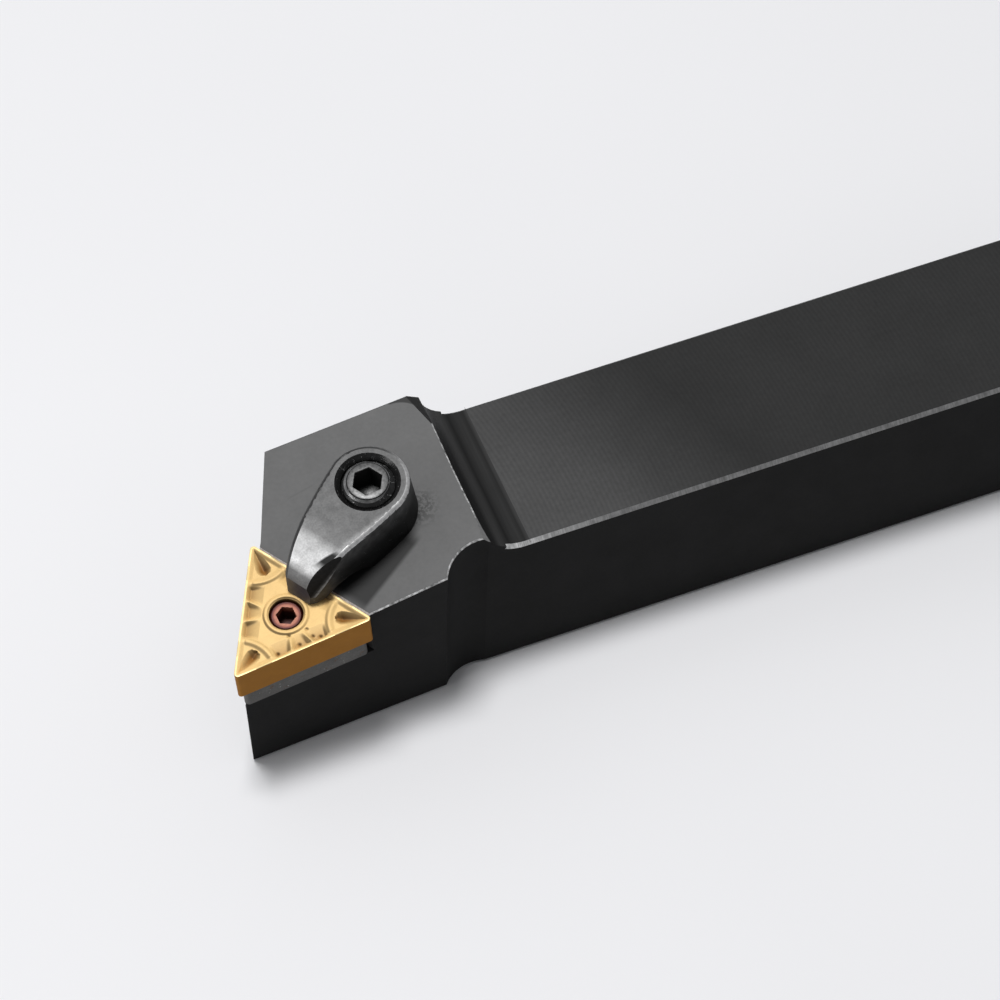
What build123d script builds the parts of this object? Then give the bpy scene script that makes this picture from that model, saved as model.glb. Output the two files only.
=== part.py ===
"""Right-hand external turning tool holder with a triangular indexable insert.

A square steel shank carries an offset head. The insert lies on a carbide shim in
an open pocket, located by a pin through its hole and pressed down by a finger
clamp that a left- and right-hand threaded screw draws towards the head.

Millimetres. +X runs from the cutting end to the rear end, +Y away from the cutting
edge, +Z up. The origin is on the shank's seating face, halfway along the tool and
halfway across the shank.
"""

import os
from math import acos, cos, radians, sin, sqrt, tan

from build123d import *

# Shank: a standard 20 x 20 section, 125 long
tool_length = 125.0
shank_width = 20.0
shank_height = 20.0
shank_chamfer = 0.4

# Where the cutting corner stands
cutting_height = 20.0
functional_width = 25.0
edge_plan_angle = 3.0
edge_rise = 5.0
cross_rise = 6.0

# Insert: 9.525 inscribed circle, 4.76 thick, flat sides at 90 degrees to its faces
inscribed_circle = 9.525
insert_thickness = 4.76
insert_hole_radius = 1.905
insert_nose_radius = 0.4
recess_radius = 0.72
recess_centre = 6.0
recess_point = 8.55
recess_depth = 0.3
recess_wall_angle = 30.0
land_width = 0.3
groove_width = 1.5
groove_depth = 0.16

# Shim under the insert
shim_thickness = 3.18
shim_inset = 0.35
shim_corner_radius = 0.5
shim_hole_radius = 2.1
shim_chamfer = 0.2

# Head
head_far_corner = (-48.5, 10.0, 23.6)
head_rise = (0.1194, 0.1185)
head_near_corner = (-60.5, -13.04)
head_front_kink = (-52.97, 0.95)
head_front_angle = 67.35
head_near_angle = 3.54
head_near_end = -35.5
head_lean = Vector(-0.047, -0.055, 1.0)
head_edge_chamfer = 0.15
head_corner_chamfer = 0.12
neck_radius = 4.75
neck_centre_x = -33.28
neck_sink = 0.22
neck_lean = Vector(0.032, 0.0, 1.0)
ramp_radius = 5.0
ramp_centre_x = -26.65
ramp_sink = 0.02
ramp_chamfer_start = -85.0
ramp_chamfer_turn = -34.0
wall_chamfer = 0.4
stock_height = 27.0
stock_near_y = -19.0
head_facets = (((-31.6, 4.96), (-33.2, 10.0), 0.65), ((-31.79, -9.34), (-31.52, -6.28), 0.9))
facet_width = 2.2
facet_length = 8.0

# Clamp screw: M6, right-hand thread below and left-hand thread above
screw_distance = 15.5
screw_offset = -0.2
screw_radius = 3.0
screw_clearance = 0.05
screw_top = 6.4
screw_bottom = -14.6
screw_end_radius = 2.22
screw_end_chamfer = 0.55
screw_relief_radius = 2.35
screw_relief_top = 0.6
screw_relief_bottom = -1.6
screw_socket = 3.0
screw_socket_depth = 3.6

# Clamp: heights are above the top face of the insert
clamp_top = 6.2
clamp_heel_radius = 5.15
clamp_top_radius = 4.55
clamp_nose_reach = 13.2
clamp_nose_half = 1.45
clamp_cheek_reach = 12.6
clamp_cheek_half = 2.0
clamp_waist_reach = 6.3
clamp_waist_half = 3.55
clamp_foot_swell = 0.55
clamp_foot_depth = 0.4
clamp_nose_height = 2.6
clamp_nose_slope = 0.3
clamp_roll_start = 6.7
clamp_heel_end = 5.3
clamp_pad_start = 11.4
clamp_arch = (8.4, 1.25)
clamp_mouth_radius = 3.62
clamp_top_round = 0.5
clamp_cheek_flat = ((12.9, 1.0, 2.75), (12.75, 1.95, 1.2), (8.6, 2.85, 6.2))

# Lock pin: M4 thread, countersunk collar in the shim, plain head in the insert
pin_head_radius = 1.8
pin_top = -0.45
pin_top_chamfer = 0.2
pin_collar_radius = 2.95
pin_collar_top = -4.95
pin_thread_radius = 2.0
pin_clearance = 0.05
pin_bottom = -18.0
pin_end_chamfer = 0.5
pin_socket = 2.0
pin_socket_depth = 2.4

# Reference planes
edge_turn = radians(edge_plan_angle)
edge_way = Vector(cos(edge_turn), sin(edge_turn), tan(radians(edge_rise))).normalized()
cross_way = Vector(-sin(edge_turn), cos(edge_turn), tan(radians(cross_rise)))
seat_normal = edge_way.cross(cross_way).normalized()
inward_way = seat_normal.cross(edge_way)
clamp_way = edge_way * cos(radians(30)) + inward_way * sin(radians(30))
cutting_corner = Vector(-tool_length / 2, shank_width / 2 - functional_width, cutting_height)
wall_distance = inscribed_circle / 2
insert_centre = cutting_corner + clamp_way * inscribed_circle

# The insert's top face: x points from the pin to the clamp screw, z out of the seat
insert_top = Plane(origin=insert_centre, x_dir=clamp_way, z_dir=seat_normal)
insert_bottom = insert_top.offset(-insert_thickness)
pocket_floor = insert_top.offset(-insert_thickness - shim_thickness)
head_top = Plane(origin=head_far_corner, z_dir=(-head_rise[0], -head_rise[1], 1))

# Middle of the pocket wall's top edge
wall_foot = insert_top.from_local_coords(Vector(wall_distance, 0, 0))
wall_point = wall_foot - seat_normal * (
    (wall_foot - head_top.origin).dot(head_top.z_dir) / seat_normal.dot(head_top.z_dir)
)

# The clamp's plane: x points from the screw to the nose, z along the screw
screw_point = insert_top.from_local_coords(Vector(screw_distance, screw_offset, 0))
clamp_plane = Plane(
    origin=screw_point, x_dir=insert_centre - screw_point, z_dir=seat_normal
)
clamp_side = Plane(
    origin=screw_point, x_dir=clamp_plane.x_dir, z_dir=clamp_plane.y_dir * -1
)
neck_plane = Plane(origin=(0, 0, 0), x_dir=(1, 0, -neck_lean.X), z_dir=neck_lean)
pin_side = Plane(origin=insert_centre, x_dir=clamp_way, z_dir=insert_top.y_dir * -1)


def head_height(x, y):
    """Height of the head's top plane over a point of the underside."""
    far_x, far_y, far_z = head_far_corner
    return far_z + head_rise[0] * (x - far_x) + head_rise[1] * (y - far_y)


def edge_cutter(size):
    """Triangle that chamfers an edge at its origin, when the body lies towards +x and -y."""
    with BuildSketch() as outline:
        with BuildLine():
            Polyline((2 * size, size), (-size, -2 * size), (-size, size), (2 * size, size))
        make_face()
    return outline.sketch


def triangle(inset, corner_radius):
    """The insert's outline, moved in by inset, with rounded corners."""
    with BuildSketch() as outline:
        RegularPolygon(radius=inscribed_circle - 2 * inset, side_count=3, rotation=180)
        fillet(outline.vertices(), corner_radius)
    return outline.sketch


def corner_pits():
    """Three drops, pointed towards the insert's corners and round towards its middle."""
    slant = acos(recess_radius / (recess_point - recess_centre))
    touch = (recess_centre + recess_radius * cos(slant), recess_radius * sin(slant))
    with BuildSketch() as outline:
        with BuildSketch(mode=Mode.PRIVATE) as drop:
            with BuildLine():
                ThreePointArc(
                    touch, (recess_centre - recess_radius, 0), (touch[0], -touch[1])
                )
                Polyline((touch[0], -touch[1]), (recess_point, 0), touch)
            make_face()
        for turn in (60, 180, 300):
            add(drop.sketch.rotate(Axis.Z, turn))
    return outline.sketch


def clamp_outline(boss_radius, swell):
    """Boss round the screw and a finger that narrows to the nose, seen from above."""
    half = clamp_nose_half
    cheek = clamp_cheek_half
    waist = clamp_waist_half + swell
    with BuildSketch() as outline:
        with BuildLine():
            Line((clamp_nose_reach, -half), (clamp_nose_reach, half))
            Line((clamp_nose_reach, half), (clamp_cheek_reach, cheek))
            ThreePointArc(
                (clamp_cheek_reach, cheek), (clamp_waist_reach, waist), (0, boss_radius)
            )
            ThreePointArc((0, boss_radius), (-boss_radius, 0), (0, -boss_radius))
            ThreePointArc(
                (0, -boss_radius), (clamp_waist_reach, -waist), (clamp_cheek_reach, -cheek)
            )
            Line((clamp_cheek_reach, -cheek), (clamp_nose_reach, -half))
        make_face()
    return outline.sketch


# One-piece steel body: shank, neck and head
with BuildPart() as holder_body:
    # Side view: the head stands above the shank, joined by a round-bottomed step
    with BuildSketch(Plane.XZ.offset(-shank_width / 2)) as side_view:
        step_z = shank_height - ramp_sink + ramp_radius
        step_out = sqrt(ramp_radius**2 - (ramp_radius - ramp_sink) ** 2)
        with BuildLine():
            Polyline(
                (ramp_centre_x + step_out, shank_height),
                (tool_length / 2, shank_height),
                (tool_length / 2, 0),
                (-tool_length / 2, 0),
                (-tool_length / 2, stock_height),
                (ramp_centre_x - ramp_radius, stock_height),
                (ramp_centre_x - ramp_radius, step_z),
            )
            RadiusArc(
                (ramp_centre_x - ramp_radius, step_z),
                (ramp_centre_x + step_out, shank_height),
                -ramp_radius,
            )
        make_face()
    extrude(amount=shank_width / 2 - stock_near_y)

    # Head outline: front face with a slight kink, and the near side, both leaning out
    with BuildSketch(Plane.XY) as head_outline:
        run = tan(radians(head_front_angle))
        near_run = tan(radians(head_near_angle))
        far_y = shank_width / 2 + 4
        near_y = head_near_corner[1] + near_run * (head_near_end - head_near_corner[0])
        with BuildLine():
            Polyline(
                head_near_corner,
                head_front_kink,
                (head_front_kink[0] + (far_y - head_front_kink[1]) / run, far_y),
                (tool_length / 2 + 4, far_y),
                (tool_length / 2 + 4, stock_near_y),
                (head_near_end, stock_near_y),
                (head_near_end, near_y),
                head_near_corner,
            )
        make_face()
    extrude(
        amount=stock_height * head_lean.length,
        dir=head_lean.normalized(),
        mode=Mode.INTERSECT,
    )

    # Neck: the head's overhang ends in a concave round on the shank's near side
    with BuildSketch(neck_plane):
        near_face = -shank_width / 2
        neck_centre_y = near_face + neck_sink - neck_radius
        neck_out = sqrt(neck_radius**2 - (neck_radius - neck_sink) ** 2)
        with BuildLine():
            RadiusArc(
                (neck_centre_x - neck_radius, neck_centre_y),
                (neck_centre_x + neck_out, near_face),
                neck_radius,
            )
            Polyline(
                (neck_centre_x + neck_out, near_face),
                (tool_length / 2 + 4, near_face),
                (tool_length / 2 + 4, stock_near_y),
                (neck_centre_x - neck_radius, stock_near_y),
                (neck_centre_x - neck_radius, neck_centre_y),
            )
        make_face()
    extrude(amount=2 * stock_height, both=True, mode=Mode.SUBTRACT)

    # Head top, just below the insert, rising a little more steeply to the far and rear sides
    split(bisect_by=head_top, keep=Keep.BOTTOM)

    # Broken edges: the head's top behind the front faces, its near corner, and the foot
    head_rim = holder_body.faces().sort_by_distance(screw_point)[0].edges().sort_by(Axis.X)
    chamfer(head_rim[2:], head_edge_chamfer)
    foot_rim = holder_body.edges().group_by(Axis.Z)[0].sort_by(Axis.X)
    chamfer(foot_rim[2:], shank_chamfer)
    near_corner = holder_body.edges().sort_by_distance((*head_near_corner, shank_height / 2))[0]
    chamfer(near_corner, head_corner_chamfer)

    # Ground facets at the two ends of the head's rear edge
    for start, end, fall in head_facets:
        along = Vector(start[0] - end[0], start[1] - end[1], 0)
        facet_plane = Plane(
            origin=(start[0], start[1], head_height(*start)),
            x_dir=(-along.Y, along.X, 0),
            z_dir=(along.X, along.Y, head_height(*start) - head_height(*end)),
        )
        with BuildSketch(facet_plane):
            with BuildLine():
                Polyline(
                    (0, 0), (facet_width, -fall * facet_width), (facet_width, 1), (0, 1), (0, 0)
                )
            make_face()
        extrude(amount=facet_length, both=True, mode=Mode.SUBTRACT)

    # Pocket: a floor, and one wall along the insert's inner side
    with BuildSketch(pocket_floor):
        with Locations((wall_distance, 0)):
            Rectangle(30, 60, align=(Align.MAX, Align.CENTER))
    extrude(amount=12, mode=Mode.SUBTRACT)

    # Hole for the clamp screw and hole for the pin, both through to the underside
    with BuildSketch(clamp_plane):
        Circle(screw_radius + screw_clearance)
    extrude(amount=-40, mode=Mode.SUBTRACT)
    with BuildSketch(pocket_floor):
        Circle(pin_thread_radius + pin_clearance)
    extrude(amount=-40, mode=Mode.SUBTRACT)

    # Broken edges at the rear end
    rear_rim = holder_body.faces().sort_by(Axis.X)[-1].edges().sort_by(Axis.Z)
    chamfer(rear_rim[1:], shank_chamfer)

    # Filed edges along the top of the shank, carried a little way up the ramp
    for side in (-1, 1):
        with BuildLine(Plane.XZ.offset(-side * shank_width / 2)) as shank_edge:
            Line((tool_length / 2 + 1, shank_height), (ramp_centre_x + step_out, shank_height))
        with BuildLine(Plane.XZ.offset(-side * shank_width / 2)) as ramp_edge:
            CenterArc(
                (ramp_centre_x, step_z), ramp_radius, ramp_chamfer_start, ramp_chamfer_turn
            )
        for path in (shank_edge.line, ramp_edge.line):
            start = Plane(origin=path @ 0, x_dir=(0, -side, 0), z_dir=(path % 0) * side)
            with BuildSketch(start):
                add(edge_cutter(shank_chamfer))
            sweep(path=path, mode=Mode.SUBTRACT)

    # Chamfer along the top of the pocket wall
    wall_top = Plane(origin=wall_point, x_dir=clamp_way, z_dir=clamp_way.cross(head_top.z_dir))
    with BuildSketch(wall_top):
        add(edge_cutter(wall_chamfer))
    extrude(amount=inscribed_circle * 2, both=True, mode=Mode.SUBTRACT)
holder_body.part.label = "holder_body"

# Carbide shim, a little smaller than the insert
with BuildPart() as shim:
    with BuildSketch(pocket_floor):
        add(triangle(shim_inset, shim_corner_radius))
    extrude(amount=shim_thickness)
    chamfer(shim.faces().sort_by(Axis(insert_centre, seat_normal))[-1].edges(), shim_chamfer)
    with BuildSketch(pocket_floor):
        Circle(shim_hole_radius)
    extrude(amount=shim_thickness, mode=Mode.SUBTRACT)
    # Countersink for the pin's collar
    with BuildSketch(pin_side):
        sink_radius = pin_collar_radius + pin_clearance
        sink_depth = sink_radius - shim_hole_radius
        with BuildLine():
            Polyline(
                (0, -insert_thickness + 1),
                (sink_radius, -insert_thickness + 1),
                (sink_radius, pin_collar_top),
                (shim_hole_radius, pin_collar_top - sink_depth),
                (0, pin_collar_top - sink_depth),
                (0, -insert_thickness + 1),
            )
        make_face()
    revolve(axis=Axis(insert_centre, seat_normal), mode=Mode.SUBTRACT)
shim.part.label = "shim"

# Double-sided triangular insert with a chip groove and three corner pits on each face
with BuildPart() as insert:
    with BuildSketch(insert_bottom):
        add(triangle(0, insert_nose_radius))
    extrude(amount=insert_thickness)
    for face_plane, inward in ((insert_top, -1), (insert_bottom, 1)):
        with BuildSketch(face_plane):
            add(triangle(land_width, insert_nose_radius))
            deck = triangle(land_width + groove_width, insert_nose_radius)
            add(deck, mode=Mode.SUBTRACT)
        extrude(amount=inward * groove_depth, mode=Mode.SUBTRACT)
        # A pit behind each corner, pointed towards the corner and round behind
        with BuildSketch(face_plane):
            add(corner_pits())
        extrude(amount=inward * recess_depth, taper=recess_wall_angle, mode=Mode.SUBTRACT)
    with BuildSketch(insert_bottom):
        Circle(insert_hole_radius)
    extrude(amount=insert_thickness, mode=Mode.SUBTRACT)
insert.part.label = "insert"

# Finger clamp: a drafted body between a wide foot outline and a narrower top outline
with BuildPart() as clamp:
    with BuildSketch(clamp_plane.offset(-clamp_foot_depth)):
        add(clamp_outline(clamp_heel_radius, clamp_foot_swell))
    with BuildSketch(clamp_plane.offset(clamp_top)):
        add(clamp_outline(clamp_top_radius, 0))
    loft(ruled=True)

    # The top rolls over towards the nose
    with BuildSketch(clamp_side):
        lip = clamp_nose_reach - clamp_nose_slope
        back = -clamp_heel_radius - 1
        foot = -clamp_foot_depth
        roll_run = lip - clamp_roll_start
        roll_fall = clamp_top - clamp_nose_height
        roll_radius = (roll_run**2 + roll_fall**2) / (2 * roll_fall)
        with BuildLine():
            Polyline((clamp_roll_start, clamp_top), (back, clamp_top), (back, foot))
            Line((back, foot), (clamp_heel_end, foot))
            ThreePointArc((clamp_heel_end, foot), clamp_arch, (clamp_pad_start, 0))
            Line((clamp_pad_start, 0), (clamp_nose_reach, 0))
            Line((clamp_nose_reach, 0), (lip, clamp_nose_height))
            RadiusArc((lip, clamp_nose_height), (clamp_roll_start, clamp_top), -roll_radius)
        make_face()
    extrude(amount=2 * clamp_heel_radius, both=True, mode=Mode.INTERSECT)

    # Flat on the near side of the nose, and the foot cut to seat on the head
    cheek_points = [clamp_plane.from_local_coords(Vector(*point)) for point in clamp_cheek_flat]
    cheek_normal = (cheek_points[1] - cheek_points[0]).cross(cheek_points[2] - cheek_points[0])
    split(bisect_by=Plane(origin=cheek_points[0], z_dir=cheek_normal), keep=Keep.BOTTOM)
    split(bisect_by=head_top, keep=Keep.TOP)

    # Rounded top edge
    top_rim = clamp.faces().sort_by(Axis(screw_point, seat_normal))[-1].edges()
    fillet(top_rim, clamp_top_round)

    # Threaded bore, countersunk at the top
    with BuildSketch(clamp_plane.offset(-2 * clamp_foot_depth)):
        Circle(screw_radius + screw_clearance)
    extrude(amount=clamp_top + 2 * clamp_foot_depth, mode=Mode.SUBTRACT)
    mouth = clamp.faces().sort_by(Axis(screw_point, seat_normal))[-1].inner_wires()[0].edges()
    chamfer(mouth, clamp_mouth_radius - screw_radius - screw_clearance)
clamp.part.label = "clamp"

# Clamp screw: two threaded ends of opposite hand, a relief between them, sockets in both
with BuildPart() as clamp_screw:
    with BuildSketch(clamp_side):
        edge = screw_radius - screw_end_radius
        neck = screw_radius - screw_relief_radius
        with BuildLine():
            Polyline(
                (0, screw_top),
                (screw_end_radius, screw_top),
                (screw_radius, screw_top - screw_end_chamfer),
                (screw_radius, screw_relief_top + neck),
                (screw_relief_radius, screw_relief_top),
                (screw_relief_radius, screw_relief_bottom),
                (screw_radius, screw_relief_bottom - neck),
                (screw_radius, screw_bottom + screw_end_chamfer),
                (screw_end_radius, screw_bottom),
                (0, screw_bottom),
                (0, screw_top),
            )
        make_face()
    revolve(axis=Axis(screw_point, seat_normal))
    socket_corner = screw_socket / sqrt(3)
    for height, depth in ((screw_top, -screw_socket_depth), (screw_bottom, screw_socket_depth)):
        with BuildSketch(clamp_plane.offset(height)):
            RegularPolygon(radius=socket_corner, side_count=6, rotation=30)
        extrude(amount=depth, mode=Mode.SUBTRACT)
clamp_screw.part.label = "clamp_screw"

# Lock pin
with BuildPart() as lock_pin:
    with BuildSketch(pin_side):
        collar_depth = pin_collar_radius - pin_thread_radius
        with BuildLine():
            Polyline(
                (0, pin_top),
                (pin_head_radius - pin_top_chamfer, pin_top),
                (pin_head_radius, pin_top - pin_top_chamfer),
                (pin_head_radius, pin_collar_top),
                (pin_collar_radius, pin_collar_top),
                (pin_thread_radius, pin_collar_top - collar_depth),
                (pin_thread_radius, pin_bottom + pin_end_chamfer),
                (pin_thread_radius - pin_end_chamfer, pin_bottom),
                (0, pin_bottom),
                (0, pin_top),
            )
        make_face()
    revolve(axis=Axis(insert_centre, seat_normal))
    with BuildSketch(insert_top.offset(pin_top)):
        RegularPolygon(radius=pin_socket / sqrt(3), side_count=6)
    extrude(amount=-pin_socket_depth, mode=Mode.SUBTRACT)
lock_pin.part.label = "lock_pin"

os.makedirs("parts", exist_ok=True)
for piece in (holder_body, shim, insert, clamp, clamp_screw, lock_pin):
    export_step(piece.part, f"parts/{piece.part.label}.step")
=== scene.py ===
"""Looks of a right-hand external turning tool holder with a triangular insert.

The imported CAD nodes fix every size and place. The shim and the lock pin keep their nodes and
get better materials. The holder body and the clamp get a copy of their own surface with a
finish for each region, the insert gets its chip breaker, and the clamp screw its threads.
Points and sizes on the tool are millimetres, in the row frame or in the seat's and the
screw's own axes, and a matrix turns each mesh that is built here into metres. Lamps and the
floor are placed in metres.
"""
from math import cos, pi, radians, sin, sqrt, tan

import bpy
import numpy as np
from mathutils import Matrix, Vector


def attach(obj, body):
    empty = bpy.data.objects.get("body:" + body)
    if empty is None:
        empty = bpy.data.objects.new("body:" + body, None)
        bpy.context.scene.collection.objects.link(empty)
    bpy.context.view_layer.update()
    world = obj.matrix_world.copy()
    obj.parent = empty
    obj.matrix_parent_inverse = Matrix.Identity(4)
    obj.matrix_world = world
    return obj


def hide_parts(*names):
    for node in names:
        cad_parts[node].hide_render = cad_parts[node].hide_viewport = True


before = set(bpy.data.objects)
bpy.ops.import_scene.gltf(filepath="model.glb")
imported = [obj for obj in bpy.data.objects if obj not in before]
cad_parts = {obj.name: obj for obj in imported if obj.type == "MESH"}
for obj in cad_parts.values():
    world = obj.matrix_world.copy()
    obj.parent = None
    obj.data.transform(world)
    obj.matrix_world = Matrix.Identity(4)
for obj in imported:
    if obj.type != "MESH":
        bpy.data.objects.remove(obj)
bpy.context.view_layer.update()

MM = 0.001

# ---------------------------------------------------------------- the tool's own axes
EDGE_PLAN_ANGLE = radians(3)
EDGE_RISE = radians(5)
CROSS_RISE = radians(6)
HALF_CORNER = radians(30)
CUTTING_CORNER = Vector((-62.5, -15.0, 20.0))
INSCRIBED_CIRCLE = 9.525
INSERT_THICKNESS = 4.76
SCREW_DISTANCE = 15.5
SCREW_OFFSET = -0.2
HEAD_NORMAL = Vector((-0.1194, -0.1185, 1)).normalized()


def seat_axes():
    """Unit axes of the insert's seat: towards the clamp screw, along the wall, up."""
    edge = Vector((cos(EDGE_PLAN_ANGLE), sin(EDGE_PLAN_ANGLE), tan(EDGE_RISE))).normalized()
    cross = Vector((-sin(EDGE_PLAN_ANGLE), cos(EDGE_PLAN_ANGLE), tan(CROSS_RISE)))
    up = edge.cross(cross).normalized()
    inward = up.cross(edge)
    clamp = edge * cos(HALF_CORNER) + inward * sin(HALF_CORNER)
    return clamp, up.cross(clamp), up


SEAT_S, SEAT_T, SEAT_UP = seat_axes()
INSERT_CENTRE = CUTTING_CORNER + SEAT_S * INSCRIBED_CIRCLE
SCREW_POINT = INSERT_CENTRE + SEAT_S * SCREW_DISTANCE + SEAT_T * SCREW_OFFSET


def axes_matrix(x_axis, y_axis, z_axis, origin_mm):
    """Matrix that takes millimetres in the given axes to metres in the row frame."""
    turn = Matrix((x_axis, y_axis, z_axis)).transposed().to_4x4()
    return Matrix.Translation(origin_mm * MM) @ turn @ Matrix.Scale(MM, 4)


SEAT_MATRIX = axes_matrix(SEAT_S, SEAT_T, SEAT_UP, INSERT_CENTRE)
CLAMP_X = (INSERT_CENTRE - SCREW_POINT).normalized()
CLAMP_Y = SEAT_UP.cross(CLAMP_X)
SCREW_MATRIX = axes_matrix(CLAMP_X, CLAMP_Y, SEAT_UP, SCREW_POINT)
CHEEK_NORMAL = Vector((-0.155, -0.953, 0.260))
CHEEK_POINT = SCREW_POINT + CLAMP_X * 12.9 + CLAMP_Y * 1.0 + SEAT_UP * 2.75

# ---------------------------------------------------------------- camera
CAMERA_TARGET = Vector((-25.963, -0.085, 15.119)) * MM
CAMERA_AZIMUTH = radians(-111.135)
CAMERA_ELEVATION = radians(53.596)
CAMERA_ROLL = radians(-0.525)
CAMERA_DISTANCE = 515.44 * MM
CAMERA_LENS = 166.77
SENSOR_WIDTH = 36.0
CLIP_START, CLIP_END = 0.01, 20


def add_camera():
    """Camera at the photograph's viewing angle, distance and framing."""
    away = Vector((
        cos(CAMERA_ELEVATION) * cos(CAMERA_AZIMUTH),
        cos(CAMERA_ELEVATION) * sin(CAMERA_AZIMUTH),
        sin(CAMERA_ELEVATION),
    ))
    right = Vector((-sin(CAMERA_AZIMUTH), cos(CAMERA_AZIMUTH), 0))
    up = away.cross(right)
    turned_right = right * cos(CAMERA_ROLL) + up * sin(CAMERA_ROLL)
    turned_up = up * cos(CAMERA_ROLL) - right * sin(CAMERA_ROLL)
    data = bpy.data.cameras.new("camera")
    data.lens = CAMERA_LENS
    data.sensor_width = SENSOR_WIDTH
    data.clip_start = CLIP_START
    data.clip_end = CLIP_END
    camera = bpy.data.objects.new("camera", data)
    bpy.context.scene.collection.objects.link(camera)
    turn = Matrix((turned_right, turned_up, away)).transposed().to_4x4()
    camera.matrix_world = Matrix.Translation(CAMERA_TARGET + away * CAMERA_DISTANCE) @ turn
    bpy.context.scene.camera = camera


# ---------------------------------------------------------------- light and floor
LAMP_AIM = Vector((-0.03, 0, 0.01))
FLOOR_SIZE = 6
WORLD_TINT = (0.97, 0.98, 1, 1)
WORLD_FRONT_STRENGTH = 0.2
WORLD_BACK_STRENGTH = 0.42
WORLD_FADE = (-0.35, 0.75)


def add_area_light(name, azimuth, elevation, distance, size, power):
    """Square soft lamp in the given direction in degrees from LAMP_AIM, facing it."""
    turn, rise = radians(azimuth), radians(elevation)
    away = Vector((cos(rise) * cos(turn), cos(rise) * sin(turn), sin(rise)))
    data = bpy.data.lights.new(name, "AREA")
    data.shape = "SQUARE"
    data.size = size
    data.energy = power
    lamp = bpy.data.objects.new(name, data)
    bpy.context.scene.collection.objects.link(lamp)
    facing = away.to_track_quat("Z", "Y").to_matrix().to_4x4()
    lamp.matrix_world = Matrix.Translation(LAMP_AIM + away * distance) @ facing


def add_world():
    """Pale surroundings: light behind the tool, dim in front of it."""
    world = bpy.data.worlds.new("world")
    bpy.context.scene.world = world
    world.use_nodes = True
    nodes, links = world.node_tree.nodes, world.node_tree.links
    place = nodes.new("ShaderNodeTexCoord")
    split = nodes.new("ShaderNodeSeparateXYZ")
    links.new(place.outputs["Generated"], split.inputs[0])
    fade = nodes.new("ShaderNodeMapRange")
    fade.interpolation_type = "SMOOTHSTEP"
    fade.inputs["From Min"].default_value = WORLD_FADE[0]
    fade.inputs["From Max"].default_value = WORLD_FADE[1]
    fade.inputs["To Min"].default_value = WORLD_FRONT_STRENGTH
    fade.inputs["To Max"].default_value = WORLD_BACK_STRENGTH
    links.new(split.outputs["Y"], fade.inputs["Value"])
    links.new(fade.outputs["Result"], nodes["Background"].inputs["Strength"])
    nodes["Background"].inputs["Color"].default_value = WORLD_TINT


def add_stage():
    """Pale floor, a soft key lamp high behind, a low lamp on the left, and a pale world."""
    bpy.ops.mesh.primitive_plane_add(size=FLOOR_SIZE, location=(0, 0, 0))
    floor = bpy.context.object
    floor.name = "floor"
    floor.data.materials.append(floor_paper())
    add_area_light("lamp_key", azimuth=146, elevation=83, distance=0.9, size=0.2, power=5.7)
    add_area_light("lamp_left", azimuth=186, elevation=17, distance=0.6, size=0.26, power=0.75)
    add_world()
    bpy.context.scene.view_settings.view_transform = "Standard"


# ---------------------------------------------------------------- material helper
def linear(*levels):
    """Linear values of 8-bit display levels: one for a grey, three for a colour."""
    shares = [level / 255 for level in levels]
    values = [share / 12.92 if share < 0.04 else ((share + 0.055) / 1.055) ** 2.4 for share in shares]
    return values * 3 if len(values) == 1 else values


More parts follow.
